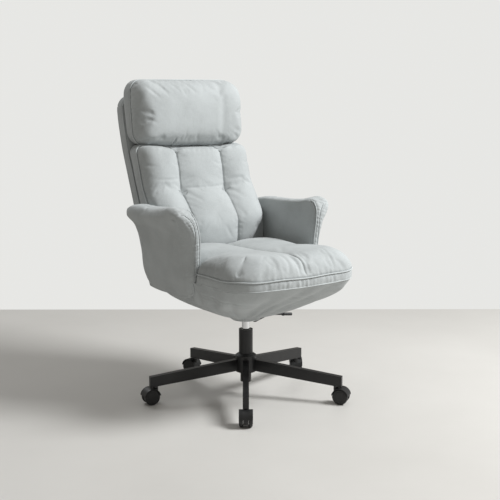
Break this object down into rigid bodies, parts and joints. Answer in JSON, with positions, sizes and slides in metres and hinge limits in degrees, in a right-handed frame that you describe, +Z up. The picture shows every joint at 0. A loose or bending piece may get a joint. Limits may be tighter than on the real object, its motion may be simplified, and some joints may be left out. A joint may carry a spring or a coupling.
{
  "type": "swivel office chair",
  "caption": "High-backed upholstered swivel office chair with padded arms and head pillow on a five-star base with twin-wheel casters.",
  "frame": {"origin": "on the floor, on the swivel axis", "axes": "+Z up along the swivel axis, -Y the way the sitter faces, +X the sitter's left"},
  "size_m": [0.7102, 0.84, 1.098],
  "materials": {
    "upholstery": "soft brushed microfibre",
    "plywood": "plain birch plywood",
    "black_metal": "satin powder coat",
    "black_plastic": "moulded nylon",
    "natural_nylon": "natural nylon",
    "plain_steel": "zinc plated",
    "chrome": "hard chrome"
  },
  "bodies": {
    "base": {"leg_1": "black_metal", "leg_2": "black_metal", "leg_3": "black_metal", "leg_4": "black_metal", "leg_5": "black_metal", "leg_end_plugs": "black_plastic", "caster_sleeves": "black_metal", "caster_stems": "plain_steel", "base_hub": "black_metal", "hub_collar": "black_plastic", "column_tube": "black_metal", "guide_bush": "natural_nylon", "thrust_bearing": "plain_steel"},
    "rod": {"piston_rod": "plain_steel", "retaining_clip": "plain_steel"},
    "lift": {"gas_cylinder": "chrome", "mechanism_housing": "black_metal", "tilt_pins": "plain_steel", "lever_pin": "plain_steel", "tilt_springs": "plain_steel"},
    "button": {"valve_button": "plain_steel"},
    "lever": {"lever_rod": "black_metal", "lever_trigger": "black_metal", "lever_grip": "black_plastic"},
    "seat": {"seat_plate": "black_metal", "plate_bolts": "plain_steel", "seat_bearers": "plywood", "seat_board": "plywood", "seat_cushion": "upholstery", "under_shell": "upholstery", "arm_left": "upholstery", "arm_right": "upholstery", "arm_board_left": "plywood", "arm_board_right": "plywood", "arm_bolts": "plain_steel", "back_brackets": "black_metal", "back_board": "plywood", "back_shell": "upholstery", "back_cushion": "upholstery", "head_pillow": "upholstery"},
    "caster_1": {"caster_body_1": "black_plastic", "caster_axle_1": "plain_steel"},
    "wheel_a_1": {"wheel_a_1": "black_plastic"},
    "wheel_b_1": {"wheel_b_1": "black_plastic"},
    "caster_2": {"caster_body_2": "black_plastic", "caster_axle_2": "plain_steel"},
    "wheel_a_2": {"wheel_a_2": "black_plastic"},
    "wheel_b_2": {"wheel_b_2": "black_plastic"},
    "caster_3": {"caster_body_3": "black_plastic", "caster_axle_3": "plain_steel"},
    "wheel_a_3": {"wheel_a_3": "black_plastic"},
    "wheel_b_3": {"wheel_b_3": "black_plastic"},
    "caster_4": {"caster_body_4": "black_plastic", "caster_axle_4": "plain_steel"},
    "wheel_a_4": {"wheel_a_4": "black_plastic"},
    "wheel_b_4": {"wheel_b_4": "black_plastic"},
    "caster_5": {"caster_body_5": "black_plastic", "caster_axle_5": "plain_steel"},
    "wheel_a_5": {"wheel_a_5": "black_plastic"},
    "wheel_b_5": {"wheel_b_5": "black_plastic"}
  },
  "joints": [
    {"name": "swivel", "type": "hinge", "parent": "base", "child": "rod", "pos_m": [0, 0, 0.0605], "axis": [0, 0, 1], "continuous": true},
    {"name": "height", "type": "slide", "parent": "rod", "child": "lift", "axis": [0, 0, 1], "range_m": [0, 0.1]},
    {"name": "tilt", "type": "hinge", "parent": "lift", "child": "seat", "pos_m": [0, 0, 0.335], "axis": [-1, 0, 0], "range_deg": [0, 12], "stiffness_Nm_per_rad": 220, "springref_deg": -11.46, "deforming": ["tilt_springs"]},
    {"name": "lever_lift", "type": "hinge", "parent": "lift", "child": "lever", "pos_m": [0.031, 0, 0.335], "axis": [0, -1, 0], "range_deg": [0, 5.5], "stiffness_Nm_per_rad": 2, "springref_deg": -8.59},
    {"name": "valve", "type": "slide", "parent": "lift", "child": "button", "axis": [0, 0, 1], "range_m": [-0.003, 0]},
    {"name": "caster_swivel_1", "type": "hinge", "parent": "base", "child": "caster_1", "pos_m": [-0.18584, -0.26541, 0.05], "axis": [0, 0, 1], "continuous": true},
    {"name": "wheel_roll_a_1", "type": "hinge", "parent": "caster_1", "child": "wheel_a_1", "pos_m": [-0.20907, -0.27112, 0.027], "axis": [-0.8192, 0.5736, 0], "continuous": true},
    {"name": "wheel_roll_b_1", "type": "hinge", "parent": "caster_1", "child": "wheel_b_1", "pos_m": [-0.18326, -0.28918, 0.027], "axis": [-0.8192, 0.5736, 0], "continuous": true},
    {"name": "caster_swivel_2", "type": "hinge", "parent": "base", "child": "caster_2", "pos_m": [0.19499, -0.25876, 0.05], "axis": [0, 0, 1], "continuous": true},
    {"name": "wheel_roll_a_2", "type": "hinge", "parent": "caster_2", "child": "wheel_a_2", "pos_m": [0.19241, -0.28254, 0.027], "axis": [-0.8192, -0.5736, 0], "continuous": true},
    {"name": "wheel_roll_b_2", "type": "hinge", "parent": "caster_2", "child": "wheel_b_2", "pos_m": [0.21821, -0.26447, 0.027], "axis": [-0.8192, -0.5736, 0], "continuous": true},
    {"name": "caster_swivel_3", "type": "hinge", "parent": "base", "child": "caster_3", "pos_m": [0.30635, 0.10548, 0.05], "axis": [0, 0, 1], "continuous": true},
    {"name": "wheel_roll_a_3", "type": "hinge", "parent": "caster_3", "child": "wheel_a_3", "pos_m": [0.32924, 0.1124, 0.027], "axis": [0.848, -0.5299, 0], "continuous": true},
    {"name": "wheel_roll_b_3", "type": "hinge", "parent": "caster_3", "child": "wheel_b_3", "pos_m": [0.30253, 0.12909, 0.027], "axis": [0.848, -0.5299, 0], "continuous": true},
    {"name": "caster_swivel_4", "type": "hinge", "parent": "base", "child": "caster_4", "pos_m": [-0.00566, 0.32395, 0.05], "axis": [0, 0, 1], "continuous": true},
    {"name": "wheel_roll_a_4", "type": "hinge", "parent": "caster_4", "child": "wheel_a_4", "pos_m": [0.00299, 0.34625, 0.027], "axis": [0.9397, 0.342, 0], "continuous": true},
    {"name": "wheel_roll_b_4", "type": "hinge", "parent": "caster_4", "child": "wheel_b_4", "pos_m": [-0.02661, 0.33548, 0.027], "axis": [0.9397, 0.342, 0], "continuous": true},
    {"name": "caster_swivel_5", "type": "hinge", "parent": "base", "child": "caster_5", "pos_m": [-0.30984, 0.09473, 0.05], "axis": [0, 0, 1], "continuous": true},
    {"name": "wheel_roll_a_5", "type": "hinge", "parent": "caster_5", "child": "wheel_a_5", "pos_m": [-0.32548, 0.11283, 0.027], "axis": [0.1392, 0.9903, 0], "continuous": true},
    {"name": "wheel_roll_b_5", "type": "hinge", "parent": "caster_5", "child": "wheel_b_5", "pos_m": [-0.32986, 0.08164, 0.027], "axis": [0.1392, 0.9903, 0], "continuous": true}
  ],
  "couplings": [
    {"joint": "valve", "follows": "lever_lift", "m_per_rad": -0.0302}
  ]
}
